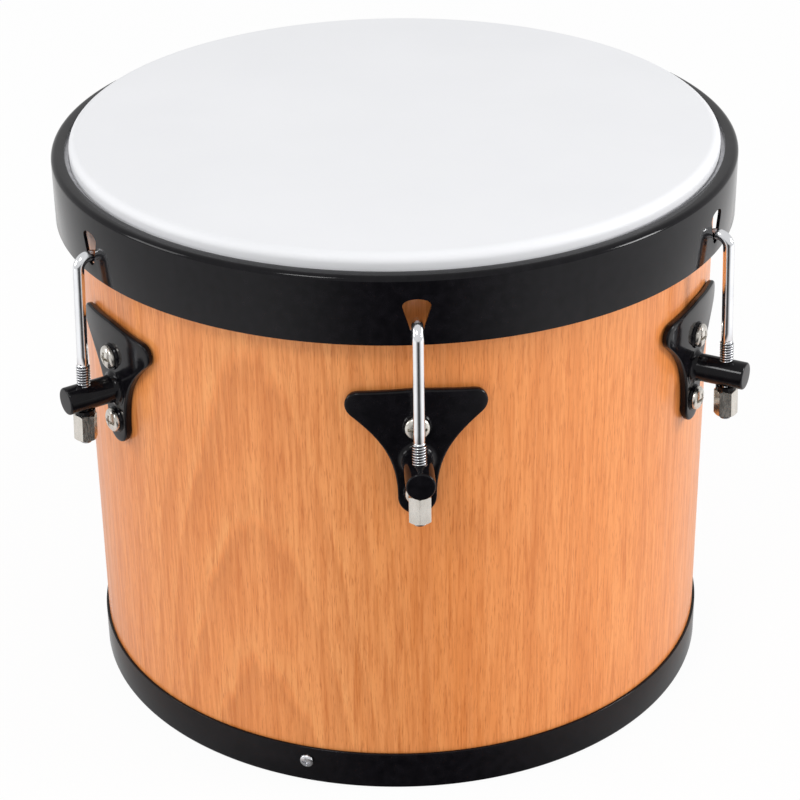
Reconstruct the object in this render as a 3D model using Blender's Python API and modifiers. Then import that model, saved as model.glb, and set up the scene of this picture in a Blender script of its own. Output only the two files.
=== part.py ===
"""Hand repique: a wooden single-headed drum with a rod-tensioned head.

Metres, +Z up. The origin is the centre of the face that the drum stands on, and
lug 1 points along -Y. Run with: blender --background --python part.py
"""

import math

import bmesh
import bpy
from mathutils import Matrix, Vector

MM = 0.001

# Shell: a plywood cylinder with a rounded bearing edge at the top.
SHELL_RADIUS = 150.0 * MM
SHELL_WALL = 7.0 * MM
SHELL_LENGTH = 268.7 * MM
BEARING_ROUND = 3.0 * MM
BEARING_DROP = 4.0 * MM
FOOT_CHAMFER = 1.2 * MM
SEAT_GAP = 0.3 * MM

# Bottom hoop: a steel band with a flange turned in under the shell.
BAND_WALL = 1.1 * MM
BAND_HEIGHT = 19.3 * MM
BAND_FLANGE = 9.4 * MM
BAND_ROUND = 2.0 * MM
BAND_SCREWS = 3
BAND_SCREW_TURN = -20.0
BAND_SCREW_HEIGHT = 12.3 * MM
BAND_SCREW_RADIUS = 1.5 * MM
BAND_SCREW_GRIP = 5.2 * MM
BAND_HEAD_RADIUS = 3.3 * MM
BAND_HEAD_HEIGHT = 1.9 * MM
SCREW_CLEARANCE = 0.3 * MM

# Head: a membrane drawn over the bearing edge and folded round the flesh hoop.
HEAD_THICKNESS = 1.1 * MM
HEAD_PROUD = 6.2 * MM
HEM_SHORTFALL = 1.0 * MM
FLESH_HOOP_WIDTH = 4.0 * MM
FLESH_HOOP_HEIGHT = 7.0 * MM

# Pressure hoop: a skirt with a flange turned in over the flesh hoop, and a slot for each hook.
HOOP_WALL = 1.5 * MM
HOOP_HEIGHT = 31.1 * MM
HOOP_FLANGE = 6.3 * MM
HOOP_ROUND = 2.4 * MM
HOOP_CLEARANCE = 1.2 * MM
SLOT_SILL = 5.4 * MM
SLOT_HEIGHT = 15.7 * MM
SLOT_TOP_WIDTH = 12.1 * MM
SLOT_FOOT_WIDTH = 6.2 * MM
SLOT_SHOULDER = 3.4 * MM

# Lugs: a plate curved to the shell with a round post that the rod passes through.
LUGS = 6
LUG_POST_Z = 176.7 * MM
PLATE_WALL = 3.5 * MM
PLATE_TOP_WIDTH = 62.0 * MM
PLATE_FOOT_WIDTH = 17.0 * MM
PLATE_RISE = 33.5 * MM
PLATE_HEIGHT = 61.0 * MM
PLATE_CORNER = 6.0 * MM
PLATE_CROWN = 1.6 * MM
PAD_RADIUS = 6.2 * MM
PAD_HEIGHT = 0.8 * MM
POST_RADIUS = 6.4 * MM
POST_REACH = 28.0 * MM
POST_CHAMFER = 0.9 * MM
POST_FILLET = 2.4 * MM
LUG_SCREW_SPACING = 32.2 * MM
LUG_SCREW_RADIUS = 2.5 * MM
LUG_HEAD_RADIUS = 5.5 * MM
LUG_HEAD_HEIGHT = 3.0 * MM
INNER_NUT_FLATS = 8.0 * MM
INNER_NUT_HEIGHT = 4.6 * MM
INNER_FLANGE_RADIUS = 5.6 * MM
INNER_FLANGE_HEIGHT = 1.2 * MM
SCREW_TIP_PROUD = 1.0 * MM

# Tension rods: a rolled 1/4-20 thread below a plain shank, bent to a hook at the top.
# They lean in towards the hoop. The standoff is measured at the height of the post.
ROD_RADIUS = 2.55 * MM
ROD_THREAD_RADIUS = 3.175 * MM
ROD_THREAD_LENGTH = 39.1 * MM
ROD_STANDOFF = 18.6 * MM
ROD_LEAN = 2.2
ROD_TIP_PROUD = 1.8 * MM
ROD_TIP_TAPER = 0.8 * MM
ROD_HOLE_CLEARANCE = 0.55 * MM
HOOK_TAIL = 4.4 * MM
HOOK_STEPS = 8

# Washer and long hexagonal nut under each post.
SPOTFACE_DEPTH = 0.6 * MM
SPOTFACE_MARGIN = 0.6 * MM
WASHER_RADIUS = 4.8 * MM
WASHER_THICKNESS = 1.6 * MM
NUT_FLATS = 9.525 * MM
NUT_LENGTH = 12.7 * MM
NUT_CHAMFER = 0.7 * MM
NUT_BORE_CLEARANCE = 0.5 * MM

# Facets round a full turn. The lugs sit on multiples of the rings' step.
RING_STEPS = 60
POST_STEPS = 12
SCREW_STEPS = 10
ARC_STEPS = 3

# Heights that follow from the driving sizes, from the floor up.
shell_bottom = BAND_WALL + SEAT_GAP
shell_top = shell_bottom + SHELL_LENGTH
head_under = shell_top + SEAT_GAP
head_top = head_under + HEAD_THICKNESS
hoop_top = head_top - HEAD_PROUD
hoop_bottom = hoop_top - HOOP_HEIGHT
flesh_top = hoop_top - HOOP_WALL - SEAT_GAP
flesh_bottom = flesh_top - FLESH_HOOP_HEIGHT
hem_bottom = flesh_bottom - SEAT_GAP - HEAD_THICKNESS
hem_top = flesh_top - HEM_SHORTFALL

# Radii that follow from the driving sizes, from the shell out.
shell_inner = SHELL_RADIUS - SHELL_WALL
band_inner = SHELL_RADIUS + SEAT_GAP
band_outer = band_inner + BAND_WALL
collar_inner = SHELL_RADIUS + SEAT_GAP
collar_outer = collar_inner + HEAD_THICKNESS
flesh_inner = collar_outer + SEAT_GAP
flesh_outer = flesh_inner + FLESH_HOOP_WIDTH
hem_inner = flesh_outer + SEAT_GAP
hem_outer = hem_inner + HEAD_THICKNESS
hoop_inner = hem_outer + HOOP_CLEARANCE
hoop_outer = hoop_inner + HOOP_WALL
lip_radius = hoop_outer - HOOP_FLANGE
plate_inner = SHELL_RADIUS + SEAT_GAP
plate_outer = plate_inner + PLATE_WALL
pad_face = plate_outer + PAD_HEIGHT
post_end = SHELL_RADIUS + POST_REACH
lean = math.radians(ROD_LEAN)


def rod_r(z):
    """How far the leaning rod's axis is from the drum's axis at this height."""
    return SHELL_RADIUS + ROD_STANDOFF - (z - LUG_POST_Z) * math.tan(lean)


# The hook: its tail lies behind the skirt, and its bend rests on the slot's sill.
sill_z = hoop_bottom + SLOT_SILL
shank_r = rod_r(sill_z)
tail_r = hoop_inner - SEAT_GAP - ROD_RADIUS - HOOK_TAIL * math.sin(lean)
bend_radius = (shank_r - tail_r) * math.cos(lean) / 2
bend_r = (shank_r + tail_r) / 2
bend_inside = bend_radius - ROD_RADIUS - SEAT_GAP
bend_rise = math.sqrt(max(bend_inside**2 - (bend_r - hoop_inner) ** 2, 0.0))
bend_z = sill_z - bend_rise

# The stack under a post. The nut tilts with the rod, so its corners need a little more room.
nut_corner = NUT_FLATS / 2 / math.cos(math.radians(30))
seat_z = LUG_POST_Z - POST_RADIUS + SPOTFACE_DEPTH
washer_top = seat_z - SEAT_GAP
washer_bottom = washer_top - WASHER_THICKNESS
nut_top = washer_bottom - SEAT_GAP - nut_corner * math.sin(lean)
nut_bottom = nut_top - NUT_LENGTH
rod_bottom = nut_bottom - ROD_TIP_PROUD
rod_hole = ROD_THREAD_RADIUS + ROD_HOLE_CLEARANCE
nut_bore = ROD_THREAD_RADIUS + NUT_BORE_CLEARANCE


def clear_scene():
    for obj in list(bpy.data.objects):
        bpy.data.objects.remove(obj, do_unlink=True)


def new_collection(name, parent, helper=False):
    made = bpy.data.collections.new(name)
    parent.children.link(made)
    made.hide_render = helper
    return made


def new_material(name, color, metallic, roughness, coat=0.0):
    made = bpy.data.materials.new(name)
    made.use_nodes = True
    made.diffuse_color = (*color, 1.0)
    shader = made.node_tree.nodes["Principled BSDF"]
    shader.inputs["Base Color"].default_value = (*color, 1.0)
    shader.inputs["Metallic"].default_value = metallic
    shader.inputs["Roughness"].default_value = roughness
    shader.inputs["Coat Weight"].default_value = coat
    return made


def place(name, mesh, collection, material=None, matrix=None):
    """A new object that shows this mesh, which other objects may share."""
    obj = bpy.data.objects.new(name, mesh)
    collection.objects.link(obj)
    if material and not mesh.materials:
        mesh.materials.append(material)
    if matrix is not None:
        obj.matrix_world = matrix
    if collection.hide_render:
        obj.hide_render = True
        obj.display_type = "WIRE"
    return obj


def turned(name, profile, collection, steps, open_at_axis=False):
    """A profile of (radius, height) points, top to bottom down its outer side, turned about Z."""
    mesh = bpy.data.meshes.new(name)
    count = len(profile)
    edges = [(i, i + 1) for i in range(count - 1)]
    if not open_at_axis:
        edges.append((count - 1, 0))
    mesh.from_pydata([(r, 0.0, z) for r, z in profile], edges, [])
    obj = place(name, mesh, collection)
    screw = obj.modifiers.new("turn", "SCREW")
    screw.axis = "Z"
    screw.steps = steps
    screw.render_steps = steps
    screw.use_merge_vertices = True
    screw.merge_threshold = 0.00001
    screw.use_smooth_shade = True
    return obj


def cylinder(name, radius, start, end, collection, steps=SCREW_STEPS):
    """A plain rod of this radius between two points."""
    along = Vector(end) - Vector(start)
    mesh = bpy.data.meshes.new(name)
    shape = bmesh.new()
    bmesh.ops.create_cone(
        shape,
        cap_ends=True,
        segments=steps,
        radius1=radius,
        radius2=radius,
        depth=along.length,
    )
    shape.to_mesh(mesh)
    shape.free()
    turn = along.to_track_quat("Z", "Y").to_matrix().to_4x4()
    middle = Matrix.Translation((Vector(start) + Vector(end)) / 2)
    return place(name, mesh, collection, matrix=middle @ turn)


def extruded(name, outline, depth, collection):
    """A flat outline of (x, y) points given this depth, half on each side."""
    curve = bpy.data.curves.new(name, "CURVE")
    curve.dimensions = "2D"
    curve.fill_mode = "BOTH"
    curve.extrude = depth / 2
    spline = curve.splines.new("POLY")
    spline.points.add(len(outline) - 1)
    for point, (x, y) in zip(spline.points, outline):
        point.co = (x, y, 0.0, 1.0)
    spline.use_cyclic_u = True
    obj = bpy.data.objects.new(name, curve)
    collection.objects.link(obj)
    mesh = solid_mesh(obj)
    bpy.data.objects.remove(obj)
    return place(name, mesh, collection)


def solid_mesh(obj):
    """The object's evaluated shape as a mesh of its own, with its loose caps welded."""
    bpy.context.view_layer.update()
    graph = bpy.context.evaluated_depsgraph_get()
    mesh = bpy.data.meshes.new_from_object(obj.evaluated_get(graph))
    shape = bmesh.new()
    shape.from_mesh(mesh)
    bmesh.ops.remove_doubles(shape, verts=shape.verts, dist=0.000001)
    bmesh.ops.recalc_face_normals(shape, faces=shape.faces)
    shape.to_mesh(mesh)
    shape.free()
    return mesh


def smooth(mesh, angle=35.0):
    mesh.shade_smooth()
    mesh.set_sharp_from_angle(angle=math.radians(angle))
    return mesh


def combine(obj, other, operation):
    """Adds a live Boolean with one object or with a collection of them."""
    step = obj.modifiers.new(operation.lower(), "BOOLEAN")
    step.operation = operation
    step.solver = "EXACT"
    if isinstance(other, bpy.types.Collection):
        step.operand_type = "COLLECTION"
        step.collection = other
    else:
        step.object = other
    return step


def arc(cx, cy, radius, start, end, steps=ARC_STEPS):
    """Points on a circle from one angle to another, in degrees."""
    turns = [math.radians(start + (end - start) * i / steps) for i in range(steps + 1)]
    return [(cx + radius * math.cos(t), cy + radius * math.sin(t)) for t in turns]


def bezier(p0, p1, p2, p3, steps):
    """Inner points of a cubic curve between p0 and p3, without its ends."""
    found = []
    for i in range(1, steps):
        t = i / steps
        u = 1 - t
        w = (u**3, 3 * u * u * t, 3 * u * t * t, t**3)
        found.append(tuple(sum(k * p[a] for k, p in zip(w, (p0, p1, p2, p3))) for a in (0, 1)))
    return found


def around(index, count=LUGS, first=0.0):
    """A turn about Z, so that index 0 stays on -Y."""
    return Matrix.Rotation(math.radians(first + 360.0 * index / count), 4, "Z")


def on_chord(radius, half_width):
    """How far out a flat face of this half width may lie inside a faceted cylinder."""
    facet = math.cos(math.pi / RING_STEPS)
    return math.sqrt(max(radius**2 - half_width**2, 0.0)) * facet


def outward():
    """A turn that carries +Z to -Y, so a piece turned about Z points out of the shell."""
    return Matrix.Rotation(math.radians(90.0), 4, "X")


clear_scene()
scene = bpy.context.scene
drum = new_collection("hand_repique", scene.collection)
cutters = new_collection("cutters", scene.collection, helper=True)
workshop = new_collection("workshop", scene.collection, helper=True)

wood = new_material("veneer", (0.78, 0.42, 0.19), 0.0, 0.38, 0.3)
napa = new_material("white_head", (0.86, 0.86, 0.87), 0.0, 0.55)
black = new_material("black_enamel", (0.012, 0.012, 0.014), 0.0, 0.16, 0.6)
zinc = new_material("bright_zinc", (0.80, 0.81, 0.84), 1.0, 0.18)
nickel = new_material("nickel", (0.74, 0.71, 0.66), 1.0, 0.28)
steel = new_material("plain_steel", (0.55, 0.55, 0.57), 1.0, 0.4)

# Parents on the joints' axes: the hoop slides on the drum's own axis.
hoop_carrier = bpy.data.objects.new("hoop_carrier", None)
drum.objects.link(hoop_carrier)


def make_shell():
    bevel_radius = SHELL_RADIUS - BEARING_ROUND
    profile = arc(bevel_radius, shell_top - BEARING_ROUND, BEARING_ROUND, 90, 0)
    profile.append((SHELL_RADIUS, shell_bottom + FOOT_CHAMFER))
    profile.append((SHELL_RADIUS - FOOT_CHAMFER, shell_bottom))
    profile.append((shell_inner, shell_bottom))
    profile.append((shell_inner, shell_top - BEARING_DROP))
    shell = turned("shell", profile, drum, RING_STEPS)
    shell.data.materials.append(wood)

    holes = new_collection("shell_holes", cutters, helper=True)
    lug_hole = LUG_SCREW_RADIUS + SCREW_CLEARANCE
    for i in range(LUGS):
        for side in (-1, 1):
            z = LUG_POST_Z + side * LUG_SCREW_SPACING / 2
            start = around(i) @ Vector((0, -(SHELL_RADIUS + SHELL_WALL), z))
            end = around(i) @ Vector((0, -(shell_inner - SHELL_WALL), z))
            cylinder(f"shell_lug_hole_{i + 1}", lug_hole, start, end, holes)
    band_hole = BAND_SCREW_RADIUS + SCREW_CLEARANCE
    for i in range(BAND_SCREWS):
        turn = around(i, BAND_SCREWS, BAND_SCREW_TURN)
        start = turn @ Vector((0, -(SHELL_RADIUS + SHELL_WALL), BAND_SCREW_HEIGHT))
        end = turn @ Vector((0, -(SHELL_RADIUS - BAND_SCREW_GRIP - SCREW_CLEARANCE), BAND_SCREW_HEIGHT))
        cylinder(f"shell_band_hole_{i + 1}", band_hole, start, end, holes)
    combine(shell, holes, "DIFFERENCE")


def make_bottom_hoop():
    profile = [(band_outer, BAND_HEIGHT)]
    profile += arc(band_outer - BAND_ROUND, BAND_ROUND, BAND_ROUND, 0, -90)
    profile.append((band_outer - BAND_FLANGE, 0.0))
    profile.append((band_outer - BAND_FLANGE, BAND_WALL))
    inside = min(BAND_ROUND - BAND_WALL, FOOT_CHAMFER)
    profile += arc(band_inner - inside, BAND_WALL + inside, inside, -90, 0, 1)
    profile.append((band_inner, BAND_HEIGHT))
    band = turned("bottom_hoop", profile, drum, RING_STEPS)
    band.data.materials.append(black)

    holes = new_collection("band_holes", cutters, helper=True)
    radius = BAND_SCREW_RADIUS + SCREW_CLEARANCE
    for i in range(BAND_SCREWS):
        turn = around(i, BAND_SCREWS, BAND_SCREW_TURN)
        start = turn @ Vector((0, -(band_outer + BAND_WALL), BAND_SCREW_HEIGHT))
        end = turn @ Vector((0, -(band_inner - BAND_WALL), BAND_SCREW_HEIGHT))
        cylinder(f"band_hole_{i + 1}", radius, start, end, holes)
    combine(band, holes, "DIFFERENCE")


def make_bottom_screws():
    """Pan-headed screws, turned about Z with the head up, then laid outward."""
    tip = SHELL_RADIUS - BAND_SCREW_GRIP
    under = band_outer + SEAT_GAP
    top = under + BAND_HEAD_HEIGHT
    crown = BAND_HEAD_HEIGHT * 0.55
    profile = [(0.0, top)]
    profile += [(BAND_HEAD_RADIUS * 0.7, top - (BAND_HEAD_HEIGHT - crown) * 0.4)]
    profile += [(BAND_HEAD_RADIUS, under + crown), (BAND_HEAD_RADIUS, under)]
    profile += [(BAND_SCREW_RADIUS, under), (BAND_SCREW_RADIUS, tip + BAND_SCREW_RADIUS), (0.0, tip)]
    form = turned("band_screw_form", profile, workshop, SCREW_STEPS, open_at_axis=True)
    mesh = smooth(solid_mesh(form))
    for i in range(BAND_SCREWS):
        lift = Matrix.Translation((0, 0, BAND_SCREW_HEIGHT))
        matrix = lift @ around(i, BAND_SCREWS, BAND_SCREW_TURN) @ outward()
        place(f"bottom_screw_{i + 1}", mesh, drum, zinc, matrix)


def make_head():
    """One skin: across the top, down the collar, and folded round the flesh hoop."""
    shoulder = BEARING_ROUND + SEAT_GAP + HEAD_THICKNESS
    fold = HEAD_THICKNESS
    profile = [(0.0, head_top)]
    profile += arc(collar_outer - shoulder, head_top - shoulder, shoulder, 90, 0, 4)
    profile += [(collar_outer, flesh_bottom - SEAT_GAP), (hem_inner, flesh_bottom - SEAT_GAP)]
    profile += [(hem_inner, hem_top), (hem_outer, hem_top)]
    profile += arc(hem_outer - fold, hem_bottom + fold, fold, 0, -90, 2)
    profile += arc(collar_inner + fold, hem_bottom + fold, fold, -90, -180, 2)
    profile += arc(collar_inner - BEARING_ROUND, head_under - BEARING_ROUND, BEARING_ROUND, 0, 90)
    profile.append((0.0, head_under))
    head = turned("head", profile, drum, RING_STEPS, open_at_axis=True)
    head.data.materials.append(napa)
    head.parent = hoop_carrier


def make_flesh_hoop():
    profile = [(flesh_outer, flesh_top), (flesh_outer, flesh_bottom)]
    profile += [(flesh_inner, flesh_bottom), (flesh_inner, flesh_top)]
    hoop = turned("flesh_hoop", profile, drum, RING_STEPS)
    hoop.data.materials.append(steel)
    hoop.parent = hoop_carrier


def slot_outline():
    """The hook slot seen from outside: a round foot, flared sides and a crowned top."""
    foot = SLOT_FOOT_WIDTH / 2
    half = SLOT_TOP_WIDTH / 2
    top = sill_z + SLOT_HEIGHT
    shoulder_z = top - SLOT_SHOULDER
    outline = arc(0.0, sill_z + foot, foot, -160, -20, 5)
    corner = (half, shoulder_z)
    outline.append(corner)
    outline += bezier(corner, (half, top - SLOT_SHOULDER * 0.3), (half * 0.5, top), (0.0, top), 4)
    outline.append((0.0, top))
    left = bezier((0.0, top), (-half * 0.5, top), (-half, top - SLOT_SHOULDER * 0.3), (-half, shoulder_z), 4)
    outline += left
    outline.append((-half, shoulder_z))
    return outline


def make_pressure_hoop():
    profile = [(lip_radius, hoop_top)]
    profile += arc(hoop_outer - HOOP_ROUND, hoop_top - HOOP_ROUND, HOOP_ROUND, 90, 0, 4)
    profile += [(hoop_outer, hoop_bottom), (hoop_inner, hoop_bottom)]
    inside = max(HOOP_ROUND - HOOP_WALL, 0.0002)
    profile += arc(hoop_inner - inside, hoop_top - HOOP_WALL - inside, inside, 0, 90, 1)
    profile.append((lip_radius, hoop_top - HOOP_WALL))
    hoop = turned("pressure_hoop", profile, drum, RING_STEPS)
    hoop.data.materials.append(black)
    hoop.parent = hoop_carrier

    slots = new_collection("hook_slots", cutters, helper=True)
    depth = 4 * HOOP_WALL
    form = extruded("slot_form", slot_outline(), depth, workshop)
    for i in range(LUGS):
        out = Matrix.Translation((0, -(hoop_inner + hoop_outer) / 2, 0))
        place(f"hook_slot_{i + 1}", form.data, slots, matrix=around(i) @ out @ outward())
    combine(hoop, slots, "DIFFERENCE")


def plate_outline():
    """A plain lug plate about the post's axis: crowned top, round corners, waisted flanks."""
    half = PLATE_TOP_WIDTH / 2
    foot = PLATE_FOOT_WIDTH / 2
    foot_z = PLATE_RISE - PLATE_HEIGHT
    corner_x = half - PLATE_CORNER
    corner_z = PLATE_RISE - PLATE_CROWN - PLATE_CORNER
    heel = (foot, foot_z + foot)
    cheek = (
        corner_x + PLATE_CORNER * math.cos(math.radians(-50)),
        corner_z + PLATE_CORNER * math.sin(math.radians(-50)),
    )
    right = arc(0.0, foot_z + foot, foot, -90, 0, 4)
    waist = PLATE_HEIGHT * 0.42
    right += bezier(heel, (foot, heel[1] + waist * 0.75), (cheek[0] - waist * 0.5, cheek[1] - waist * 0.42), cheek, 6)
    right += arc(corner_x, corner_z, PLATE_CORNER, -50, 84, 5)
    left = [(-x, z) for x, z in reversed(right)]
    return right + [(0.0, PLATE_RISE)] + left[:-1]


def make_lugs():
    """The plate is a flat blank cut by a ring, so that it hugs the shell, with the post grown from it."""
    blank_depth = 6 * PLATE_WALL
    blank = extruded("plate_blank", plate_outline(), blank_depth, workshop)
    blank.matrix_world = Matrix.Translation((0, -plate_outer, LUG_POST_Z)) @ outward()
    ring_top = LUG_POST_Z + PLATE_HEIGHT
    ring_foot = LUG_POST_Z - PLATE_HEIGHT
    ring = turned(
        "plate_ring",
        [(plate_outer, ring_top), (plate_outer, ring_foot), (plate_inner, ring_foot), (plate_inner, ring_top)],
        workshop,
        RING_STEPS,
    )
    combine(blank, ring, "INTERSECT")

    root = plate_inner + PLATE_WALL * 0.4
    fillet_z = plate_outer + POST_FILLET
    profile = [(0.0, post_end), (POST_RADIUS - POST_CHAMFER, post_end)]
    profile += [(POST_RADIUS, post_end - POST_CHAMFER), (POST_RADIUS, fillet_z)]
    profile += arc(POST_RADIUS + POST_FILLET, fillet_z, POST_FILLET, 180, 250, 2)[1:]
    profile += [(profile[-1][0], root), (0.0, root)]
    post = turned("lug_post", profile, workshop, POST_STEPS, open_at_axis=True)
    post.matrix_world = Matrix.Translation((0, 0, LUG_POST_Z)) @ outward()
    combine(blank, post, "UNION")

    screws_z = [LUG_POST_Z + side * LUG_SCREW_SPACING / 2 for side in (-1, 1)]
    holes = new_collection("lug_holes", cutters, helper=True)
    for z in screws_z:
        pad = cylinder("lug_pad", PAD_RADIUS, (0, -root, z), (0, -pad_face, z), workshop, POST_STEPS)
        combine(blank, pad, "UNION")
        radius = LUG_SCREW_RADIUS + SCREW_CLEARANCE
        far = pad_face + PLATE_WALL
        near = plate_inner - PLATE_WALL
        cylinder("lug_screw_hole", radius, (0, -near, z), (0, -far, z), holes)
    above = LUG_POST_Z + 2 * POST_RADIUS
    below = LUG_POST_Z - 2 * POST_RADIUS
    cylinder("rod_hole", rod_hole, (0, -rod_r(below), below), (0, -rod_r(above), above), holes, POST_STEPS)
    face = WASHER_RADIUS + SPOTFACE_MARGIN
    seat_r = rod_r(seat_z)
    cylinder("spotface", face, (0, -seat_r, below), (0, -seat_r, seat_z), holes, POST_STEPS)
    combine(blank, holes, "DIFFERENCE")

    mesh = smooth(solid_mesh(blank))
    mesh.transform(blank.matrix_world)
    for i in range(LUGS):
        place(f"lug_{i + 1}", mesh, drum, black, around(i))


def make_lug_screws():
    """Truss-headed machine screws and their flanged nuts inside the shell."""
    nut_face = on_chord(shell_inner, INNER_FLANGE_RADIUS) - SEAT_GAP
    nut_end = nut_face - INNER_NUT_HEIGHT
    under = pad_face + SEAT_GAP
    top = under + LUG_HEAD_HEIGHT
    rim = LUG_HEAD_HEIGHT * 0.3
    profile = [(0.0, top), (LUG_HEAD_RADIUS * 0.55, top - LUG_HEAD_HEIGHT * 0.14)]
    profile += [(LUG_HEAD_RADIUS * 0.88, under + LUG_HEAD_HEIGHT * 0.58)]
    profile += [(LUG_HEAD_RADIUS, under + rim), (LUG_HEAD_RADIUS, under), (LUG_SCREW_RADIUS, under)]
    profile += [(LUG_SCREW_RADIUS, nut_end - SCREW_TIP_PROUD), (0.0, nut_end - SCREW_TIP_PROUD)]
    form = turned("lug_screw_form", profile, workshop, SCREW_STEPS, open_at_axis=True)
    screw_mesh = smooth(solid_mesh(form))

    corner = INNER_NUT_FLATS / 2 / math.cos(math.radians(30))
    flange_end = nut_face - INNER_FLANGE_HEIGHT
    bore = LUG_SCREW_RADIUS + SCREW_CLEARANCE
    flange = turned(
        "inner_flange",
        [(INNER_FLANGE_RADIUS, nut_face), (INNER_FLANGE_RADIUS, flange_end), (bore, flange_end), (bore, nut_face)],
        workshop,
        SCREW_STEPS,
    )
    hexagon = turned(
        "inner_hexagon",
        [(0.0, nut_face - SEAT_GAP), (corner, nut_face - SEAT_GAP), (corner, nut_end), (0.0, nut_end)],
        workshop,
        6,
        open_at_axis=True,
    )
    hole = cylinder("inner_bore", bore, (0, 0, nut_end - corner), (0, 0, nut_face + corner), cutters)
    combine(flange, hexagon, "UNION")
    combine(flange, hole, "DIFFERENCE")
    nut_mesh = smooth(solid_mesh(flange), 25.0)

    for i in range(LUGS):
        for place_name, side in (("lower", -1), ("upper", 1)):
            lift = Matrix.Translation((0, 0, LUG_POST_Z + side * LUG_SCREW_SPACING / 2))
            matrix = lift @ around(i) @ outward()
            place(f"lug_screw_{i + 1}_{place_name}", screw_mesh, drum, nickel, matrix)
            place(f"inner_nut_{i + 1}_{place_name}", nut_mesh, drum, zinc, matrix)


def make_rods():
    """A bent wire: threaded foot, plain shank, and a hook whose tail hides behind the skirt."""
    thread = ROD_THREAD_RADIUS / ROD_RADIUS
    tip = thread * 0.8
    thread_top = rod_bottom + ROD_THREAD_LENGTH
    foot = [(rod_bottom, tip), (rod_bottom + ROD_TIP_TAPER, thread)]
    foot += [(thread_top - ROD_TIP_TAPER, thread), (thread_top, 1.0)]
    route = [(rod_r(z), z, scale) for z, scale in foot]
    bend = arc(bend_r, bend_z, bend_radius, ROD_LEAN, ROD_LEAN + 180, HOOK_STEPS)
    route += [(r, z, 1.0) for r, z in bend]
    tail_end = (bend[-1][0] + HOOK_TAIL * math.sin(lean), bend[-1][1] - HOOK_TAIL * math.cos(lean))
    route.append((*tail_end, 1.0))

    curve = bpy.data.curves.new("rod_route", "CURVE")
    curve.dimensions = "3D"
    curve.bevel_depth = ROD_RADIUS
    curve.bevel_resolution = 2
    curve.use_fill_caps = True
    spline = curve.splines.new("POLY")
    spline.points.add(len(route) - 1)
    for point, (r, z, scale) in zip(spline.points, route):
        point.co = (0.0, -r, z, 1.0)
        point.radius = scale
    form = bpy.data.objects.new("rod_form", curve)
    workshop.objects.link(form)
    mesh = smooth(solid_mesh(form), 50.0)
    bpy.data.objects.remove(form)
    for i in range(LUGS):
        rod = place(f"tension_rod_{i + 1}", mesh, drum, zinc, around(i))
        rod.parent = hoop_carrier


def make_washers():
    profile = [(WASHER_RADIUS, washer_top), (WASHER_RADIUS, washer_bottom)]
    profile += [(rod_hole, washer_bottom), (rod_hole, washer_top)]
    form = turned("washer_form", profile, workshop, POST_STEPS)
    mesh = smooth(solid_mesh(form))
    out = Matrix.Translation((0, -rod_r((washer_top + washer_bottom) / 2), 0))
    for i in range(LUGS):
        place(f"washer_{i + 1}", mesh, drum, black, around(i) @ out)


def make_tension_nuts():
    """Six-sided nuts, turned in six steps so that the chamfers follow the flats."""
    top = NUT_LENGTH / 2
    profile = [(0.0, top), (nut_corner - NUT_CHAMFER, top), (nut_corner, top - NUT_CHAMFER * 0.6)]
    profile += [(r, -z) for r, z in reversed(profile)]
    form = turned("nut_form", profile, workshop, 6, open_at_axis=True)
    bore = cylinder("nut_bore", nut_bore, (0, 0, -NUT_LENGTH), (0, 0, NUT_LENGTH), cutters, POST_STEPS)
    combine(form, bore, "DIFFERENCE")
    mesh = smooth(solid_mesh(form), 25.0)
    middle = (nut_top + nut_bottom) / 2
    out = Matrix.Translation((0, -rod_r(middle), middle)) @ Matrix.Rotation(-lean, 4, "X")
    for i in range(LUGS):
        place(f"tension_nut_{i + 1}", mesh, drum, nickel, around(i) @ out)


make_shell()
make_bottom_hoop()
make_bottom_screws()
make_head()
make_flesh_hoop()
make_pressure_hoop()
make_lugs()
make_lug_screws()
make_rods()
make_washers()
make_tension_nuts()

# The forms that repeated pieces were taken from are no longer needed.
for helper in list(workshop.objects):
    bpy.data.objects.remove(helper)
bpy.data.collections.remove(workshop)
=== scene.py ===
import math

import bmesh
import bpy
import numpy as np
from mathutils import Matrix


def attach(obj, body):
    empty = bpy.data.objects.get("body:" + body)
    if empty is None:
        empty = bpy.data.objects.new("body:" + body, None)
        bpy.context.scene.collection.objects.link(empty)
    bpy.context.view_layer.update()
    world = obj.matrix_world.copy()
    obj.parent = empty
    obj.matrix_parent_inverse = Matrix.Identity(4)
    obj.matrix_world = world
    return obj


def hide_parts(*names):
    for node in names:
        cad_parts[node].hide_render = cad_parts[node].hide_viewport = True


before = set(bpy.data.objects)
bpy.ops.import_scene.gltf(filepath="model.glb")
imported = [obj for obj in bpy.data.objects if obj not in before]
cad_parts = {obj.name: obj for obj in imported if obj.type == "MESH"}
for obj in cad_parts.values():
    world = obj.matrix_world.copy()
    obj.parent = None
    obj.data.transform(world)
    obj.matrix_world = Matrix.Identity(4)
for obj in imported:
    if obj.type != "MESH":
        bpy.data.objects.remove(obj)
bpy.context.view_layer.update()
mm = 0.001
scene = bpy.context.scene
print("frame loaded:", len(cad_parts), "nodes")

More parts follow.
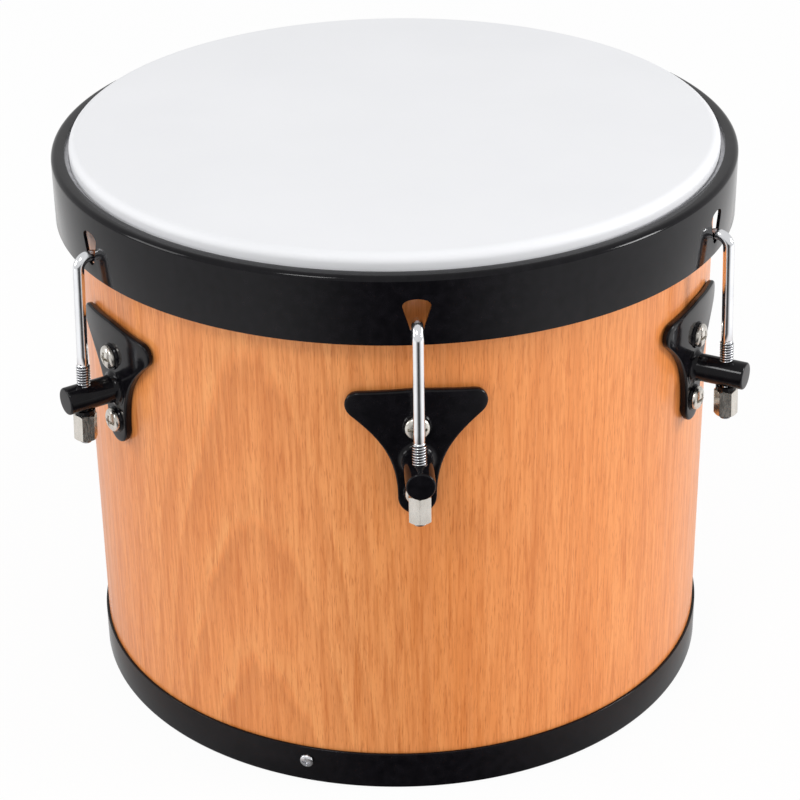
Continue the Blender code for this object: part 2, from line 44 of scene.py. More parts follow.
# Camera: where the picture was taken from, worked out from the drum's circles.
cameraView = {"distance": 1.01078, "height": 0.66212, "turn": -2.96, "pitch": 28.04,
              "yaw": 0.057, "roll": -0.74, "focalPixels": 2304.07, "framePixels": 800}
lens = 36 * cameraView["focalPixels"] / cameraView["framePixels"]
cameraData = bpy.data.cameras.new("camera")
cameraData.lens = lens
camera = bpy.data.objects.new("camera", cameraData)
scene.collection.objects.link(camera)
aim = Matrix.Rotation(math.radians(cameraView["turn"]), 4, "Z")
aim = aim @ Matrix.Translation((0, -cameraView["distance"], cameraView["height"]))
aim = aim @ Matrix.Rotation(math.radians(-cameraView["yaw"]), 4, "Z")
aim = aim @ Matrix.Rotation(math.radians(90 - cameraView["pitch"]), 4, "X")
camera.matrix_world = aim @ Matrix.Rotation(math.radians(cameraView["roll"]), 4, "Z")
scene.camera = camera
scene.view_settings.view_transform = "Standard"


# Mesh helpers.
def arcPoints(cx, cz, radius, start, end, steps=8):
    # points on a circle: the centre plus the radius times the cosine and sine of each angle in degrees
    turns = np.radians(np.linspace(start, end, steps + 1))
    return np.stack([cx + radius * np.cos(turns), cz + radius * np.sin(turns)], 1)


def gridFaces(rows, columns, closedRows):
    # quads of a grid whose columns close on themselves, and whose rows may too
    i = np.arange(rows if closedRows else rows - 1)[:, None]
    j = np.arange(columns)[None, :]
    nextRow, nextColumn = (i + 1) % rows, (j + 1) % columns
    quads = [i * columns + j, nextRow * columns + j, nextRow * columns + nextColumn, i * columns + nextColumn]
    return np.stack(np.broadcast_arrays(*quads), -1).reshape(-1, 4)


def makeMesh(name, grids, material, sharpAngle=38):
    # each grid is an array (rows, columns, 3) with a flag that says whether its rows close too
    points, faces, start = [], [], 0
    for grid, closedRows in grids:
        points.append(grid.reshape(-1, 3))
        faces.append(gridFaces(*grid.shape[:2], closedRows) + start)
        start += len(points[-1])
    mesh = bpy.data.meshes.new(name)
    mesh.from_pydata(np.concatenate(points).tolist(), [], np.concatenate(faces).tolist())
    shape = bmesh.new()
    shape.from_mesh(mesh)
    bmesh.ops.remove_doubles(shape, verts=shape.verts, dist=1e-7)
    bmesh.ops.recalc_face_normals(shape, faces=shape.faces)
    shape.to_mesh(mesh)
    shape.free()
    mesh.shade_smooth()
    mesh.set_sharp_from_angle(angle=math.radians(sharpAngle))
    mesh.materials.append(material)
    piece = bpy.data.objects.new(name, mesh)
    scene.collection.objects.link(piece)
    return piece


def turnedGrid(profile, steps):
    # a profile of (radius, height) points carried round Z
    turns = np.linspace(0, 2 * np.pi, steps, endpoint=False)
    r, z = np.asarray(profile).T
    return np.stack([r[:, None] * np.sin(turns), -r[:, None] * np.cos(turns), z[:, None] + 0 * turns], -1)


def laidOut(grid, height):
    # +Z of a small turned form becomes -Y, the way out of the shell, at this height
    x, y, z = np.moveaxis(grid, -1, 0)
    return np.stack([x, -z, y + height], -1)


def turnedTo(grid, degrees):
    # the grid turned round Z by an angle a: x cos a - y sin a, x sin a + y cos a
    a = math.radians(degrees)
    x, y, z = np.moveaxis(grid, -1, 0)
    return np.stack([x * math.cos(a) - y * math.sin(a), x * math.sin(a) + y * math.cos(a), z], -1)


def finishPiece(piece, body, slotName, *nodes):
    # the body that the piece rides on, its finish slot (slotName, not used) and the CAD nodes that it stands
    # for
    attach(piece, body)
    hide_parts(*nodes)


# Materials.
def variationGroup():
    # cloudy variation between two values, stretched along Z
    group = bpy.data.node_groups.new("surfaceVariation", "ShaderNodeTree")
    defaults = {"Spread": 60.0, "Stretch": 1.0, "Low": 0.0, "High": 1.0, "Detail": 4.0}
    for socketName, default in defaults.items():
        socket = group.interface.new_socket(socketName, in_out="INPUT", socket_type="NodeSocketFloat")
        socket.default_value = default
    group.interface.new_socket("Value", in_out="OUTPUT", socket_type="NodeSocketFloat")
    add, link = group.nodes.new, group.links.new
    entry, leave = add("NodeGroupInput"), add("NodeGroupOutput")
    place, size, scaled = add("ShaderNodeTexCoord"), add("ShaderNodeCombineXYZ"), add("ShaderNodeVectorMath")
    noise, spread, shrink = add("ShaderNodeTexNoise"), add("ShaderNodeMapRange"), add("ShaderNodeMath")
    scaled.operation, shrink.operation = "MULTIPLY", "DIVIDE"
    link(entry.outputs["Spread"], size.inputs[0])
    link(entry.outputs["Spread"], size.inputs[1])
    link(entry.outputs["Spread"], shrink.inputs[0])
    link(entry.outputs["Stretch"], shrink.inputs[1])
    link(shrink.outputs[0], size.inputs[2])
    link(place.outputs["Object"], scaled.inputs[0])
    link(size.outputs[0], scaled.inputs[1])
    noise.inputs["Scale"].default_value = 1.0
    link(scaled.outputs[0], noise.inputs["Vector"])
    link(entry.outputs["Detail"], noise.inputs["Detail"])
    link(noise.outputs["Fac"], spread.inputs["Value"])
    spread.inputs["From Min"].default_value = 0.3
    spread.inputs["From Max"].default_value = 0.7
    link(entry.outputs["Low"], spread.inputs["To Min"])
    link(entry.outputs["High"], spread.inputs["To Max"])
    link(spread.outputs[0], leave.inputs["Value"])
    return group


surfaceVariation = variationGroup()


class Finish:
    # a Principled material with helpers that chain variations into it
    def __init__(self, name, color, metallic, roughness):
        self.material = bpy.data.materials.new(name)
        self.material.use_nodes = True
        self.tree = self.material.node_tree
        self.shader = self.tree.nodes["Principled BSDF"]
        self.put("Base Color", (*color, 1))
        self.put("Metallic", metallic)
        self.put("Roughness", roughness)

    def put(self, socket, value):
        # a constant on one of the shader's own sockets
        self.shader.inputs[socket].default_value = value

    def varied(self, low, high, spread, stretch=1.0, detail=4.0):
        # a cloudy value from low to high: spread is its scale per metre, stretch lengthens it along Z
        node = self.tree.nodes.new("ShaderNodeGroup")
        node.node_tree = surfaceVariation
        values = {"Spread": spread, "Stretch": stretch, "Low": low, "High": high, "Detail": detail}
        for key, value in values.items():
            node.inputs[key].default_value = value
        return node.outputs["Value"]

    def mixed(self, factor, first, second):
        # the first colour where the factor is 0 and the second where it is 1
        node = self.tree.nodes.new("ShaderNodeMix")
        node.data_type = "RGBA"
        for index, value in ((6, first), (7, second)):
            if isinstance(value, tuple):
                node.inputs[index].default_value = (*value, 1)
            else:
                self.tree.links.new(value, node.inputs[index])
        self.tree.links.new(factor, node.inputs[0])
        return node.outputs[2]

    def feed(self, output, socket):
        self.tree.links.new(output, self.shader.inputs[socket])

    def bumped(self, output, distance, strength=1.0):
        # the output as the height of a fine relief
        bump = self.tree.nodes.new("ShaderNodeBump")
        bump.inputs["Distance"].default_value = distance
        bump.inputs["Strength"].default_value = strength
        self.tree.links.new(output, bump.inputs["Height"])
        self.feed(bump.outputs[0], "Normal")


def makeVeneer():
    # rings cut as arches, then broad streaks, fine streaks and pores, each mixed over the last
    look = {"light": (0.86, 0.335, 0.105), "warm": (0.74, 0.235, 0.052), "dark": (0.56, 0.15, 0.024),
            "pore": (0.50, 0.135, 0.026), "arch": (0.55, 0.185, 0.045),
            "pale": (0.85, 0.40, 0.14)}
    figure = {"centre": -0.5, "bow": 1.5, "width": 0.62, "period": 0.085, "wander": 0.05,
              "feather": 0.012, "edge": 13.0}
    wood = Finish("veneer", look["light"], 0.0, 0.34)
    wood.put("Specular IOR Level", 0.35)
    wood.put("Coat Weight", 0.3)
    wood.put("Coat Roughness", 0.15)

    def worked(operation, first, second=0.0):
        # one step of arithmetic on numbers or outputs
        node = wood.tree.nodes.new("ShaderNodeMath")
        node.operation = operation
        for index, value in enumerate((first, second)):
            if isinstance(value, float):
                node.inputs[index].default_value = value
            else:
                wood.tree.links.new(value, node.inputs[index])
        return node.outputs[0]

    # Arches in the figure: height plus a bow times the square of the angle from their centre line.
    place, split = wood.tree.nodes.new("ShaderNodeTexCoord"), wood.tree.nodes.new("ShaderNodeSeparateXYZ")
    wood.tree.links.new(place.outputs["Object"], split.inputs[0])
    x, y, z = split.outputs
    aside = worked("SUBTRACT", worked("ARCTAN2", x, worked("MULTIPLY", y, -1.0)), figure["centre"])
    square = worked("MULTIPLY", aside, aside)
    height = worked("ADD", z, worked("MULTIPLY", square, figure["bow"]))
    height = worked("ADD", height, wood.varied(0.0, figure["wander"], 9, 2.2, 3))
    height = worked("ADD", height, wood.varied(0.0, figure["feather"], 420, 40, 2))
    saw = worked("FRACT", worked("DIVIDE", height, figure["period"]))
    near = worked("MAXIMUM", worked("SUBTRACT", 1.0, worked("DIVIDE", square, figure["width"] ** 2)), 0.0)
    # Each ring is darkest just under its upper edge, and the next one starts pale above it.
    left = worked("SUBTRACT", 1.0, saw)
    softUnder = worked("MINIMUM", worked("MULTIPLY", left, figure["edge"]), 1.0)
    softAbove = worked("MINIMUM", worked("MULTIPLY", saw, figure["edge"]), 1.0)
    under = worked("MULTIPLY", worked("MULTIPLY", worked("POWER", saw, 2.2), near), softUnder)
    under = worked("MULTIPLY", under, wood.varied(0.45, 0.95, 26, 6, 3))
    above = worked("MULTIPLY", worked("MULTIPLY", worked("POWER", left, 4.0), near), softAbove)
    above = worked("MULTIPLY", above, wood.varied(0.3, 0.8, 26, 6, 3))

    tone = wood.mixed(wood.varied(0.0, 1.0, 15, 14, 3), look["light"], look["warm"])
    tone = wood.mixed(above, tone, look["pale"])
    tone = wood.mixed(under, tone, look["arch"])
    streak = wood.mixed(wood.varied(-0.4, 0.38, 130, 40, 5), tone, look["dark"])
    fine = wood.mixed(wood.varied(-0.35, 0.65, 900, 20, 3), streak, look["dark"])
    fine = wood.mixed(wood.varied(-0.5, 0.6, 480, 26, 2), fine, look["light"])
    pores = wood.varied(-1.15, 0.65, 2300, 15, 2)
    wood.feed(wood.mixed(pores, fine, look["pore"]), "Base Color")
    wood.feed(wood.varied(0.28, 0.42, 300, 30), "Roughness")
    wood.bumped(wood.varied(1.0, 0.0, 2300, 15, 2), 0.00003, 0.3)
    return wood.material


def makeSkin():
    # a near-white coated head with faint clouds and a fine tooth
    skin = Finish("white_head", (0.86, 0.862, 0.87), 0.0, 0.5)
    skin.feed(skin.mixed(skin.varied(0, 1, 14), (0.862, 0.868, 0.89), (0.838, 0.845, 0.868)), "Base Color")
    skin.feed(skin.varied(0.46, 0.58, 90), "Roughness")
    skin.bumped(skin.varied(0, 1, 1400, 1, 2), 0.00003, 0.35)
    return skin.material


def makeEnamel(name="black_enamel", roughness=0.11):
    # a near-black gloss with faint clouds and a slight waviness
    enamel = Finish(name, (0.004, 0.004, 0.005), 0.0, roughness)
    tone = enamel.mixed(enamel.varied(0, 1, 240), (0.0028, 0.0026, 0.0036), (0.0062, 0.0056, 0.0074))
    enamel.feed(tone, "Base Color")
    enamel.feed(enamel.varied(roughness * 0.8, roughness * 1.35, 70), "Roughness")
    enamel.put("Specular IOR Level", 0.19)
    enamel.bumped(enamel.varied(0, 1, 380, 1, 2), 0.00003, 0.15)
    return enamel.material


def makePlate(name, color, shade, roughness, spread, shadedGrooves=False):
    # plated or plain metal, with painted shade darkening the grooves of a thread where it has one
    plate = Finish(name, color, 1.0, roughness)
    tone = plate.mixed(plate.varied(0, 1, spread, 3), color, shade)
    if shadedGrooves:
        grooveShade = plate.tree.nodes.new("ShaderNodeAttribute")
        grooveShade.attribute_name = "grooveShade"
        # painted shade: near black is mixed into the thread's roots, where they would lie in shadow
        tone = plate.mixed(grooveShade.outputs["Fac"], tone, (0.07, 0.07, 0.08))
    plate.feed(tone, "Base Color")
    plate.feed(plate.varied(roughness * 0.75, roughness * 1.4, spread * 4, 4), "Roughness")
    plate.bumped(plate.varied(0, 1, spread * 8, 5, 2), 0.00002, 0.25)
    return plate.material


veneer = makeVeneer()
skinWhite = makeSkin()
enamelBlack = makeEnamel()
washerBlack = makeEnamel("black_washer", 0.32)
zincBright = makePlate("bright_zinc", (0.80, 0.81, 0.835), (0.66, 0.67, 0.70), 0.17, 220)
nickelSatin = makePlate("nickel", (0.76, 0.73, 0.68), (0.62, 0.59, 0.54), 0.24, 300)
# the threaded rods' zinc carries painted shade in its thread roots
zincThreaded = makePlate("bright_zinc_thread", (0.94, 0.95, 0.97), (0.83, 0.84, 0.87), 0.12, 220, True)
steelPlain = makePlate("plain_steel", (0.55, 0.55, 0.57), (0.42, 0.42, 0.44), 0.38, 260)
print("materials made")

# The turned pieces: shell, bottom hoop, head and pressure hoop.
ring = {"steps": 360, "shellOuter": 150 * mm, "shellInner": 143 * mm, "shellFoot": 1.4 * mm,
        "shellTop": 270.1 * mm, "bearingRound": 3 * mm, "bearingDrop": 4 * mm, "footChamfer": 1.2 * mm,
        "bandOuter": 151.4 * mm, "bandInner": 150.3 * mm, "bandHeight": 19.3 * mm, "bandRound": 2 * mm,
        "bandFlange": 9.4 * mm, "bandLip": 0.35 * mm, "bandInside": 0.9 * mm}


def turnedRing(name, profile, material, body, slotName):
    # a closed profile carried round Z, standing for the CAD node of the same name
    piece = makeMesh(name, [(turnedGrid(profile, ring["steps"]), True)], material)
    finishPiece(piece, body, slotName, name.replace("_form", ""))
    return piece


outer, inner, foot, top = (ring[k] for k in ("shellOuter", "shellInner", "shellFoot", "shellTop"))
rounding, chamfer = ring["bearingRound"], ring["footChamfer"]
shellProfile = np.concatenate([
    arcPoints(outer - rounding, top - rounding, rounding, 90, 0),
    [(outer, foot + chamfer), (outer - chamfer, foot), (inner, foot), (inner, top - ring["bearingDrop"])]])
turnedRing("shell_form", shellProfile, veneer, "shell_body", "veneer")

outer, inner, rounding = ring["bandOuter"], ring["bandInner"], ring["bandRound"]
wall, lip, inside = outer - inner, ring["bandLip"], ring["bandInside"]
bandProfile = np.concatenate([
    arcPoints(outer - lip, ring["bandHeight"] - lip, lip, 90, 0, 4),
    arcPoints(outer - rounding, rounding, rounding, 0, -90),
    [(outer - ring["bandFlange"], 0), (outer - ring["bandFlange"], wall)],
    arcPoints(inner - inside, wall + inside, inside, -90, 0, 4),
    [(inner, ring["bandHeight"])]])
turnedRing("bottom_hoop_form", bandProfile, enamelBlack, "shell_body", "black_enamel")

skin = {"top": 271.5 * mm, "thickness": 1.1 * mm, "collarInner": 150.3 * mm, "bearing": 3 * mm,
        "hemInner": 155.99 * mm, "hemTop": 262.5 * mm, "hemBottom": 255.1 * mm, "pocket": 256.2 * mm,
        "flatTo": 75 * mm, "gap": 0.3 * mm}
thick, collar = skin["thickness"], skin["collarInner"]
shoulder = skin["bearing"] + skin["gap"] + thick
hemInner, hemBottom, under = skin["hemInner"], skin["hemBottom"], skin["top"] - thick
headProfile = np.concatenate([
    [(0, skin["top"]), (skin["flatTo"], skin["top"])],
    arcPoints(collar + thick - shoulder, skin["top"] - shoulder, shoulder, 90, 0, 12),
    [(collar + thick, skin["pocket"]), (hemInner, skin["pocket"]), (hemInner, skin["hemTop"]),
     (hemInner + thick, skin["hemTop"])],
    arcPoints(hemInner, hemBottom + thick, thick, 0, -90, 4),
    arcPoints(collar + thick, hemBottom + thick, thick, -90, -180, 4),
    arcPoints(collar - skin["bearing"], under - skin["bearing"], skin["bearing"], 0, 90, 8),
    [(0, under)]])
headPiece = makeMesh("head_form", [(turnedGrid(headProfile, ring["steps"]), False)], skinWhite)
finishPiece(headPiece, "tension_hoop", "white_head", "head")
print("shell, bottom hoop and head turned")

hoop = {"outer": 159.8 * mm, "wall": 1.5 * mm, "top": 265.3 * mm, "bottom": 234.2 * mm, "flange": 6.3 * mm,
        "round": 2.4 * mm, "edge": 0.35 * mm, "slotSill": 239.6 * mm, "slotHeight": 15.7 * mm,
        "slotTopHalf": 6.05 * mm, "slotFootHalf": 3.1 * mm, "slotShoulder": 3.4 * mm,
        "inside": 0.9 * mm, "cutFrom": 166 * mm, "cutTo": 156.6 * mm, "lugs": 6}


def makeHoopMesh():
    # a top flange, a rounded shoulder and a straight side, carried round Z
    outer, top, rounding, edge = hoop["outer"], hoop["top"], hoop["round"], hoop["edge"]
    inner, lipRadius, inside = outer - hoop["wall"], outer - hoop["flange"], hoop["inside"]
    profile = np.concatenate([
        arcPoints(lipRadius + edge, top - edge, edge, 180, 90, 3),
        arcPoints(outer - rounding, top - rounding, rounding, 90, 0, 10),
        [(outer, hoop["bottom"] + edge)],
        arcPoints(outer - edge, hoop["bottom"] + edge, edge, 0, -90, 3),
        [(inner, hoop["bottom"])],
        arcPoints(inner - inside, top - hoop["wall"] - inside, inside, 0, 90, 4),
        [(lipRadius, top - hoop["wall"])]])
    return makeMesh("pressure_hoop_form", [(turnedGrid(profile, ring["steps"]), True)], enamelBlack)


def slotCurve():
    # a round foot, flared sides and a crowned top, as (x, z) points in order
    sill, footHalf, half = hoop["slotSill"], hoop["slotFootHalf"], hoop["slotTopHalf"]
    crown = sill + hoop["slotHeight"]
    shoulderZ = crown - hoop["slotShoulder"]
    footArc = arcPoints(0, sill + footHalf, footHalf, -160, -20, 12)
    turns = np.linspace(0, np.pi, 17)
    topArc = np.stack([half * np.cos(turns), shoulderZ + (crown - shoulderZ) * np.sin(turns) ** 0.85], 1)
    return np.concatenate([footArc, topArc])


hoopPiece = makeHoopMesh()
curve = slotCurve()
middle = curve.mean(0)[1]
cutFrom, cutTo = hoop["cutFrom"], hoop["cutTo"]
cutterGrids = []
for i in range(hoop["lugs"]):
    layers = [np.stack([curve[:, 0] * k, np.full(len(curve), -r), middle + (curve[:, 1] - middle) * k], -1)
              for r, k in ((cutFrom, 0.0), (cutFrom, 1.0), (cutTo, 1.0), (cutTo, 0.0))]
    cutterGrids.append((turnedTo(np.stack(layers), 360 / hoop["lugs"] * i), False))
cutter = makeMesh("slotCutter", cutterGrids, enamelBlack)
cut = hoopPiece.modifiers.new("slots", "BOOLEAN")
cut.operation, cut.solver, cut.object = "DIFFERENCE", "EXACT", cutter
bpy.context.view_layer.update()
slotted = hoopPiece.evaluated_get(bpy.context.evaluated_depsgraph_get())
hoopPiece.data = bpy.data.meshes.new_from_object(slotted)
hoopPiece.modifiers.clear()
bpy.data.objects.remove(cutter)
hoopPiece.data.shade_smooth()
hoopPiece.data.set_sharp_from_angle(angle=math.radians(30))
finishPiece(hoopPiece, "tension_hoop", "black_enamel", "pressure_hoop")
print("pressure hoop slotted")

# Lugs: a plate curved to the shell, with a turned post and two pads.
lug = {"postZ": 176.7 * mm, "inner": 150.3 * mm, "wall": 3.5 * mm, "topHalf": 31 * mm, "footHalf": 8.5 * mm,
       "rise": 33.5 * mm, "height": 61 * mm, "corner": 6 * mm, "crown": 1.6 * mm, "rim": 1.1 * mm,
       "postRadius": 6.4 * mm, "postEnd": 178 * mm, "chamfer": 0.9 * mm, "fillet": 2.6 * mm,
       "padRadius": 6.2 * mm, "padHeight": 0.8 * mm, "screwSpacing": 32.2 * mm, "outlinePoints": 180,
       "capEdge": 0.25 * mm, "postSunk": 1 * mm, "padEdge": 0.3 * mm, "padFlare": 0.5 * mm,
       "padSunk": 1.2 * mm}


def bezierPoints(p0, p1, p2, p3, steps):
    # a cubic curve: its four points weighted by (1-t)^3, 3t(1-t)^2, 3t^2(1-t) and t^3
    t = np.linspace(0, 1, steps + 1)[:, None]
    return (1 - t) ** 3 * p0 + 3 * (1 - t) ** 2 * t * p1 + 3 * (1 - t) * t * t * p2 + t ** 3 * p3


def plateCurve():
    # the right half from the foot to the crown, mirrored, then spaced evenly along its length
    footHalf, footZ, corner = lug["footHalf"], lug["rise"] - lug["height"], lug["corner"]
    cornerX, cornerZ = lug["topHalf"] - corner, lug["rise"] - lug["crown"] - corner
    heel = np.array((footHalf, footZ + footHalf))
    bow = math.radians(-50)
    cheek = np.array((cornerX + corner * math.cos(bow), cornerZ + corner * math.sin(bow)))
    waist = lug["height"] * 0.42
    flank = bezierPoints(heel, heel + (0, waist * 0.75), cheek - (waist * 0.5, waist * 0.42), cheek, 30)
    right = np.concatenate([arcPoints(0, footZ + footHalf, footHalf, -90, 0, 20), flank[1:-1],
                            arcPoints(cornerX, cornerZ, corner, -50, 84, 24), [(0, lug["rise"])]])
    whole = np.concatenate([right, (right * (-1, 1))[::-1][1:]])
    along = np.concatenate([[0], np.cumsum(np.linalg.norm(np.diff(whole, axis=0), axis=1))])
    wanted = np.linspace(0, along[-1], lug["outlinePoints"], endpoint=False)
    return np.stack([np.interp(wanted, along, whole[:, k]) for k in (0, 1)], 1)


def plateGrid():
    # the outline drawn in towards the post in steps, over a rounded rim, and bent round the shell
    outline = plateCurve()
    centre = np.array((0, 4 * mm))
    out = outline - centre
    reach = np.linalg.norm(out, axis=1, keepdims=True)
    rim, wall = lug["rim"], lug["wall"]
    rows = [(out * 0, 0.0)]
    rows += [(out * k, 0.0) for k in (0.35, 0.7, 0.97)]
    rows += [(out, rim)]
    rows += [(out - out / reach * rim * (1 - math.cos(a)), wall - rim + rim * math.sin(a))
             for a in np.radians(np.linspace(0, 90, 6))]
    rows += [((out - out / reach * rim) * k, wall) for k in (0.93, 0.7, 0.4, 0.0)]
    layers = []
    for flat, depth in rows:
        angle = (flat[:, 0] + centre[0]) / (lug["inner"] + wall)
        r = lug["inner"] + depth
        height = lug["postZ"] + centre[1] + flat[:, 1]
        layers.append(np.stack([r * np.sin(angle), -r * np.cos(angle), height], -1))
    return np.stack(layers)


def lugGrids():
    # the plate, the post with a fillet at its root, and a low round pad under each screw
    face = lug["inner"] + lug["wall"]
    radius, end, chamfer, fillet = lug["postRadius"], lug["postEnd"], lug["chamfer"], lug["fillet"]
    post = np.concatenate([
        [(0, end), (radius - chamfer - lug["capEdge"], end)],
        arcPoints(radius - chamfer, end - chamfer, chamfer, 80, 0, 5),
        arcPoints(radius + fillet, face + fillet, fillet, 180, 270, 8),
        [(radius + fillet, face - lug["postSunk"]), (0, face - lug["postSunk"])]])
    pad, padTop, padEdge = lug["padRadius"], face + lug["padHeight"], lug["padEdge"]
    boss = [(0, padTop), (pad - padEdge, padTop), (pad, padTop - padEdge),
            (pad + lug["padFlare"], face - lug["padSunk"]), (0, face - lug["padSunk"])]
    grids = [(plateGrid(), False), (laidOut(turnedGrid(post, 64), lug["postZ"]), False)]
    for side in (-1, 1):
        height = lug["postZ"] + side * lug["screwSpacing"] / 2
        grids.append((laidOut(turnedGrid(boss, 48), height), False))
    return grids


# Screws: a domed head with a cross recess, on a plain shank.
def screwGrid(radius, height, underAt, tipAt, shank, crossHalf, crossReach, slotHalf=0.0):
    # the dome is lowered where the distance from the arms of a cross is small
    rows, columns = 44, 96
    r = np.linspace(0, 1, rows)[:, None] * radius
    turns = np.linspace(0, 2 * np.pi, columns, endpoint=False)[None, :]
    x, y = r * np.sin(turns), r * np.cos(turns)
    dome = underAt + height * (0.22 + 0.78 * np.sqrt(np.clip(1 - (r / radius) ** 2, 0, 1)) ** 0.9)
    armX = np.maximum(np.abs(x) / crossReach, np.abs(y) / crossHalf)
    armY = np.maximum(np.abs(y) / crossReach, np.abs(x) / crossHalf)
    arm = np.minimum(armX, armY)
    if slotHalf:
        arm = np.minimum(arm, np.maximum(np.abs(x) / (radius * 0.72), np.abs(y) / slotHalf))
    sink = np.clip((1.08 - arm) / 0.16, 0, 1) * height * 0.62 * (1 - 0.45 * r / radius)
    cap = np.stack(np.broadcast_arrays(x, y, dome - sink), -1)
    stem = turnedGrid([(radius, underAt), (shank, underAt), (shank, tipAt), (0, tipAt)], columns)
    return np.concatenate([cap, stem * (1, -1, 1)])


lugScrew = {"radius": 5.5 * mm, "height": 3 * mm, "underAt": 154.9 * mm, "tipAt": 136 * mm, "shank": 2.5 * mm,
            "crossHalf": 0.6 * mm, "crossReach": 2.6 * mm, "slotHalf": 0.55 * mm}
bandScrew = {"radius": 3.3 * mm, "height": 1.9 * mm, "underAt": 151.7 * mm, "tipAt": 144.8 * mm,
             "shank": 1.5 * mm, "crossHalf": 0.5 * mm, "crossReach": 1.9 * mm}
bandPlace = {"count": 3, "firstTurn": -20, "height": 12.3 * mm}

# Rods: a rolled thread, a plain shank and a hook, leaning in towards the hoop.
rod = {"radius": 2.55 * mm, "threadRadius": 3.175 * mm, "threadRoot": 2.45 * mm, "pitch": 1.27 * mm,
       "bottom": 153.99 * mm, "threadLength": 39.1 * mm, "footRadius": 168.6 * mm, "lean": 2.2,
       "sill": 239.6 * mm, "tail": 4.4 * mm, "gap": 0.3 * mm, "hoopInner": 158.3 * mm, "sides": 24,
       "ringsPerTurn": 10, "crest": 1.5, "flank": 4.68, "tipLength": 1.1 * mm, "tipCrest": 0.3}
lean = math.radians(rod["lean"])


def rodAxis(z):
    # distance from the drum's axis: it falls by the tangent of the lean times the height over the post
    return rod["footRadius"] - (z - lug["postZ"]) * math.tan(lean)


def rodGrid():
    # rings of one tube along the bent wire, whose radius follows a sloped ridge in the thread
    tail = rod["hoopInner"] - rod["gap"] - rod["radius"] - rod["tail"] * math.sin(lean)
    shank = rodAxis(rod["sill"])
    bend, centre = (shank - tail) * math.cos(lean) / 2, (shank + tail) / 2
    inside = bend - rod["radius"] - rod["gap"]
    bendZ = rod["sill"] - math.sqrt(inside ** 2 - (centre - rod["hoopInner"]) ** 2)
    threadTop = rod["bottom"] + rod["threadLength"]
    low = np.arange(rod["bottom"], threadTop, rod["pitch"] / rod["ringsPerTurn"])
    high = np.linspace(threadTop, bendZ, 12)[:-1]
    straight = np.concatenate([low, high])
    angle = np.radians(np.linspace(rod["lean"], 180 + rod["lean"], 25))
    tailRun = np.linspace(0, rod["tail"], 5)[1:]
    ends = (centre + bend * np.cos(angle[-1]), bendZ + bend * np.sin(angle[-1]))
    r = np.concatenate([rodAxis(straight), centre + bend * np.cos(angle), ends[0] + tailRun * math.sin(lean)])
    z = np.concatenate([straight, bendZ + bend * np.sin(angle), ends[1] - tailRun * math.cos(lean)])
    heading = np.concatenate([np.full(len(straight), lean), angle, np.full(len(tailRun), math.pi + lean)])
    turns = np.linspace(0, 2 * np.pi, rod["sides"], endpoint=False)[None, :]
    phase = (z[:, None] / rod["pitch"] - turns / (2 * np.pi)) % 1
    ridge = np.clip(rod["crest"] - rod["flank"] * np.abs(phase - 0.5), 0, 1)
    threaded = (np.arange(len(z)) < len(low))[:, None] * np.ones_like(turns)
    fade = np.clip((threadTop - z) / rod["pitch"], 0, 1)[:, None]
    start = np.clip((z - rod["bottom"]) / rod["tipLength"], 0.0, 1)[:, None]
    tip = rod["tipCrest"] + (1 - rod["tipCrest"]) * start
    crest = rod["threadRoot"] + (rod["threadRadius"] - rod["threadRoot"]) * ridge * fade * tip
    radius = np.where(threaded > 0, crest, rod["radius"])
    outwards = np.cos(heading)[:, None] * np.cos(turns) * radius
    upwards = np.sin(heading)[:, None] * np.cos(turns) * radius
    sideways = np.sin(turns) * radius
    tube = np.stack([sideways, -(r[:, None] + outwards), z[:, None] + upwards], -1)
    caps = [np.repeat(tube[k].mean(0)[None, None, :], rod["sides"], 1) for k in (0, -1)]
    return np.concatenate([caps[0], tube, caps[1]])


def markGrooveShade(mesh, degrees):
    # painted shade in the thread: 1 at the root of the thread and 0 at its crest or on the shank, from the
    # distance to the axis
    points = np.empty(len(mesh.vertices) * 3, np.float32)
    mesh.vertices.foreach_get("co", points)
    x, y, z = turnedTo(points.reshape(-1, 3), -degrees).T
    away = np.hypot(x, (-y - rodAxis(z)) * math.cos(lean))
    depth = np.clip((rod["threadRadius"] - away) / (rod["threadRadius"] - rod["threadRoot"]), 0, 1)
    inThread = z < rod["bottom"] + rod["threadLength"] - rod["pitch"] / 2
    mark = mesh.attributes.new("grooveShade", "FLOAT", "POINT")
    mark.data.foreach_set("value", np.where(inThread, depth, 0).astype(np.float32))


# Nuts: six flats whose corners are cut by a cone at each end.
nut = {"flats": 9.525 * mm, "length": 12.7 * mm, "middle": 162.14 * mm, "bore": 3.675 * mm, "cone": 0.62,
       "turns": (33, 12, 48, 25, 5, 40)}


def nutGrid(degrees):
    # half the flats over the cosine of the angle from a flat's middle, coned at both ends, along the rod
    turns = np.linspace(0, 2 * np.pi, 144, endpoint=False)
    flat = nut["flats"] / 2 / np.cos((turns + np.radians(degrees + 30)) % (np.pi / 3) - np.pi / 6)
    face = nut["flats"] / 2 * 0.97
    drop = np.clip(flat - face, 0, None) * nut["cone"]
    half = nut["length"] / 2
    bore, top, cut = np.full(turns.shape, nut["bore"]), np.full(turns.shape, half), np.minimum(flat, face)
    rows = [(bore, top), (cut, top), (flat, half - drop), (flat, drop - half), (cut, -top), (bore, -top)]
    grid = np.stack([np.stack([r * np.sin(turns), -r * np.cos(turns), z], -1) for r, z in rows])
    x, y, z = np.moveaxis(grid, -1, 0)
    up = z * math.cos(lean) - y * math.sin(lean) + nut["middle"]
    return np.stack([x, y * math.cos(lean) + z * math.sin(lean) - rodAxis(nut["middle"]), up], -1)


